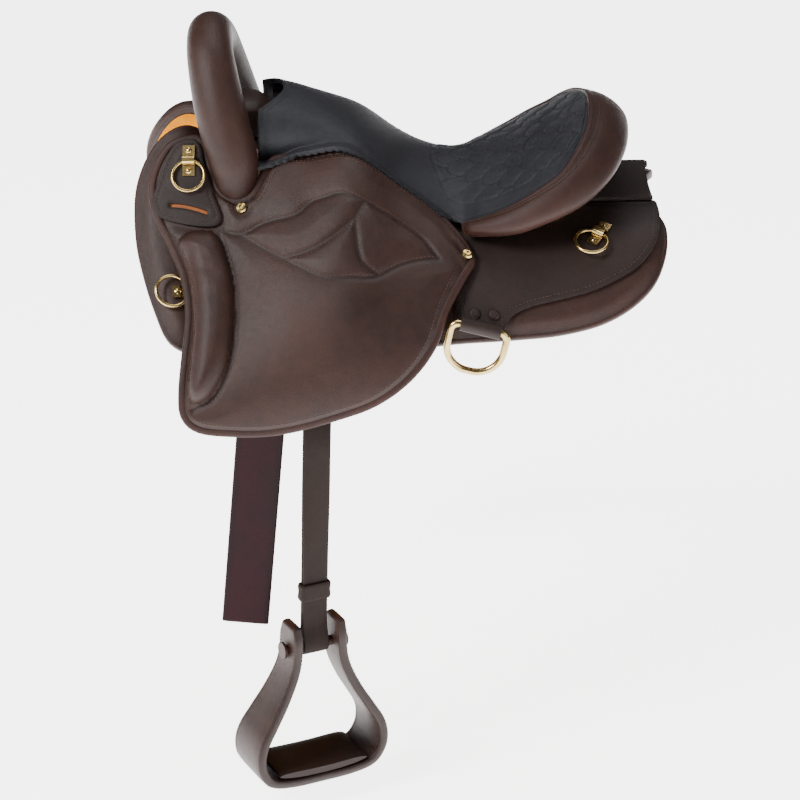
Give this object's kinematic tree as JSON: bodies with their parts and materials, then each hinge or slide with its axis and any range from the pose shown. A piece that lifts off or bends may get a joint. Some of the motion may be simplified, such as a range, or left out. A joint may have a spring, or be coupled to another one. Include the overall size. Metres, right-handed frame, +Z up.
{
  "type": "endurance saddle",
  "caption": "Endurance riding saddle with padded hoop pommel, quilted seat, deep padded flaps, bound panels, hanging stirrups, straps, rings and dees.",
  "frame": {"origin": "ridge line of the saddle rack at the middle of the saddle's length", "axes": "+X to the rear, -Y the near (left) side, +Z up"},
  "size_m": [0.6188, 0.682, 0.8574],
  "materials": {
    "tree_wood": "raw",
    "tree_steel": "brushed",
    "seat_foam": "open cell foam",
    "seat_leather": "smooth and embossed",
    "edge_leather": "soft matte",
    "panel_felt": "felt",
    "fitting_brass": "polished",
    "girth_leather": "glossy",
    "strap_leather": "matte",
    "matte_leather": "matte",
    "brown_leather": "waxed"
  },
  "bodies": {
    "saddle": {"tree_bar_near": "tree_wood", "tree_bar_off": "tree_wood", "fork": "brown_leather", "tree_cantle": "tree_wood", "hoop_core": "tree_steel", "pommel_hoop": "brown_leather", "seat_strainer": "tree_steel", "seat_foam": "seat_foam", "seat_cover": "seat_leather", "cantle_roll": "edge_leather", "rear_yoke": "matte_leather", "panel_near": "brown_leather", "panel_off": "brown_leather", "panel_binding_near": "edge_leather", "panel_binding_off": "edge_leather", "panel_lining_near": "panel_felt", "panel_lining_off": "panel_felt", "skirt_near": "matte_leather", "skirt_off": "matte_leather", "flap_near": "brown_leather", "flap_off": "brown_leather", "flap_binding_near": "edge_leather", "flap_binding_off": "edge_leather", "knee_roll_near": "brown_leather", "knee_roll_off": "brown_leather", "ring_tab_near": "matte_leather", "ring_tab_off": "matte_leather", "dee_loop_near": "matte_leather", "dee_loop_off": "matte_leather", "ring_clips": "fitting_brass", "clip_screws": "fitting_brass", "flap_screws": "fitting_brass", "dee_rivets": "matte_leather", "pivot_pins": "tree_steel"},
    "front_ring_near": {"front_ring_near": "fitting_brass"},
    "rear_ring_near": {"rear_ring_near": "fitting_brass"},
    "breast_ring_near": {"breast_ring_near": "fitting_brass"},
    "rear_dee_near": {"rear_dee_near": "fitting_brass"},
    "leather_near": {"stirrup_hanger_near": "tree_steel", "stirrup_leather_near": "strap_leather"},
    "keeper_near": {"leather_keeper_near": "strap_leather"},
    "stirrup_near": {"stirrup_frame_near": "brown_leather", "stirrup_tread_near": "brown_leather", "stirrup_bolt_near": "tree_steel"},
    "girth_near": {"girth_hanger_near": "tree_steel", "girth_strap_near": "girth_leather"},
    "front_ring_off": {"front_ring_off": "fitting_brass"},
    "rear_ring_off": {"rear_ring_off": "fitting_brass"},
    "breast_ring_off": {"breast_ring_off": "fitting_brass"},
    "rear_dee_off": {"rear_dee_off": "fitting_brass"},
    "leather_off": {"stirrup_hanger_off": "tree_steel", "stirrup_leather_off": "strap_leather", "leather_keeper_off": "strap_leather"},
    "stirrup_off": {"stirrup_frame_off": "brown_leather", "stirrup_tread_off": "brown_leather", "stirrup_bolt_off": "tree_steel"},
    "girth_off": {"girth_hanger_off": "tree_steel", "girth_strap_off": "girth_leather"}
  },
  "joints": [
    {"name": "front_ring_near_swing", "type": "hinge", "parent": "saddle", "child": "front_ring_near", "pos_m": [-0.24387, -0.09585, 0.08088], "axis": [-0.9984, 0.0436, -0.0369], "range_deg": [0, 100]},
    {"name": "rear_ring_near_swing", "type": "hinge", "parent": "saddle", "child": "rear_ring_near", "pos_m": [0.22923, -0.13343, 0.00664], "axis": [-0.8511, 0.4744, 0.2247], "range_deg": [0, 100]},
    {"name": "breast_ring_near_swing", "type": "hinge", "parent": "saddle", "child": "breast_ring_near", "pos_m": [-0.24292, -0.17206, -0.05164], "axis": [-0.0717, 0.6613, 0.7466], "range_deg": [0, 8]},
    {"name": "rear_dee_near_swing", "type": "hinge", "parent": "saddle", "child": "rear_dee_near", "pos_m": [0.09145, -0.22125, -0.07767], "axis": [-0.9703, 0, 0.2419], "range_deg": [0, 75]},
    {"name": "leather_near_swing", "type": "hinge", "parent": "saddle", "child": "leather_near", "pos_m": [-0.0899, -0.1595, -0.01182], "axis": [0, -1, 0], "range_deg": [-4, 25]},
    {"name": "keeper_near_slide", "type": "slide", "parent": "leather_near", "child": "keeper_near", "axis": [0.0262, 0, 0.9997], "range_m": [-0.02, 0.014]},
    {"name": "stirrup_near_swing", "type": "hinge", "parent": "leather_near", "child": "stirrup_near", "pos_m": [-0.10163, -0.26101, -0.45967], "axis": [-0.8826, -0.4695, 0.0231], "range_deg": [-40, 40]},
    {"name": "girth_near_swing", "type": "hinge", "parent": "saddle", "child": "girth_near", "pos_m": [-0.14322, -0.1508, -0.01283], "axis": [0, 1, 0], "range_deg": [-2, 9]},
    {"name": "front_ring_off_swing", "type": "hinge", "parent": "saddle", "child": "front_ring_off", "pos_m": [-0.24387, 0.09585, 0.08088], "axis": [0.9984, 0.0436, 0.0369], "range_deg": [0, 100]},
    {"name": "rear_ring_off_swing", "type": "hinge", "parent": "saddle", "child": "rear_ring_off", "pos_m": [0.22923, 0.13343, 0.00664], "axis": [0.8511, 0.4744, -0.2247], "range_deg": [0, 100]},
    {"name": "breast_ring_off_swing", "type": "hinge", "parent": "saddle", "child": "breast_ring_off", "pos_m": [-0.24292, 0.17206, -0.05164], "axis": [0.0717, 0.6613, -0.7466], "range_deg": [0, 8]},
    {"name": "rear_dee_off_swing", "type": "hinge", "parent": "saddle", "child": "rear_dee_off", "pos_m": [0.09145, 0.22125, -0.07767], "axis": [0.9703, 0, -0.2419], "range_deg": [0, 75]},
    {"name": "leather_off_swing", "type": "hinge", "parent": "saddle", "child": "leather_off", "pos_m": [-0.0899, 0.1595, -0.01182], "axis": [0, -1, 0], "range_deg": [-3, 15]},
    {"name": "stirrup_off_swing", "type": "hinge", "parent": "leather_off", "child": "stirrup_off", "pos_m": [-0.0899, 0.26113, -0.21782], "axis": [1, 0, 0], "range_deg": [-14, 5]},
    {"name": "girth_off_swing", "type": "hinge", "parent": "saddle", "child": "girth_off", "pos_m": [-0.14322, 0.1508, -0.01283], "axis": [0, 1, 0], "range_deg": [-2, 4]}
  ]
}
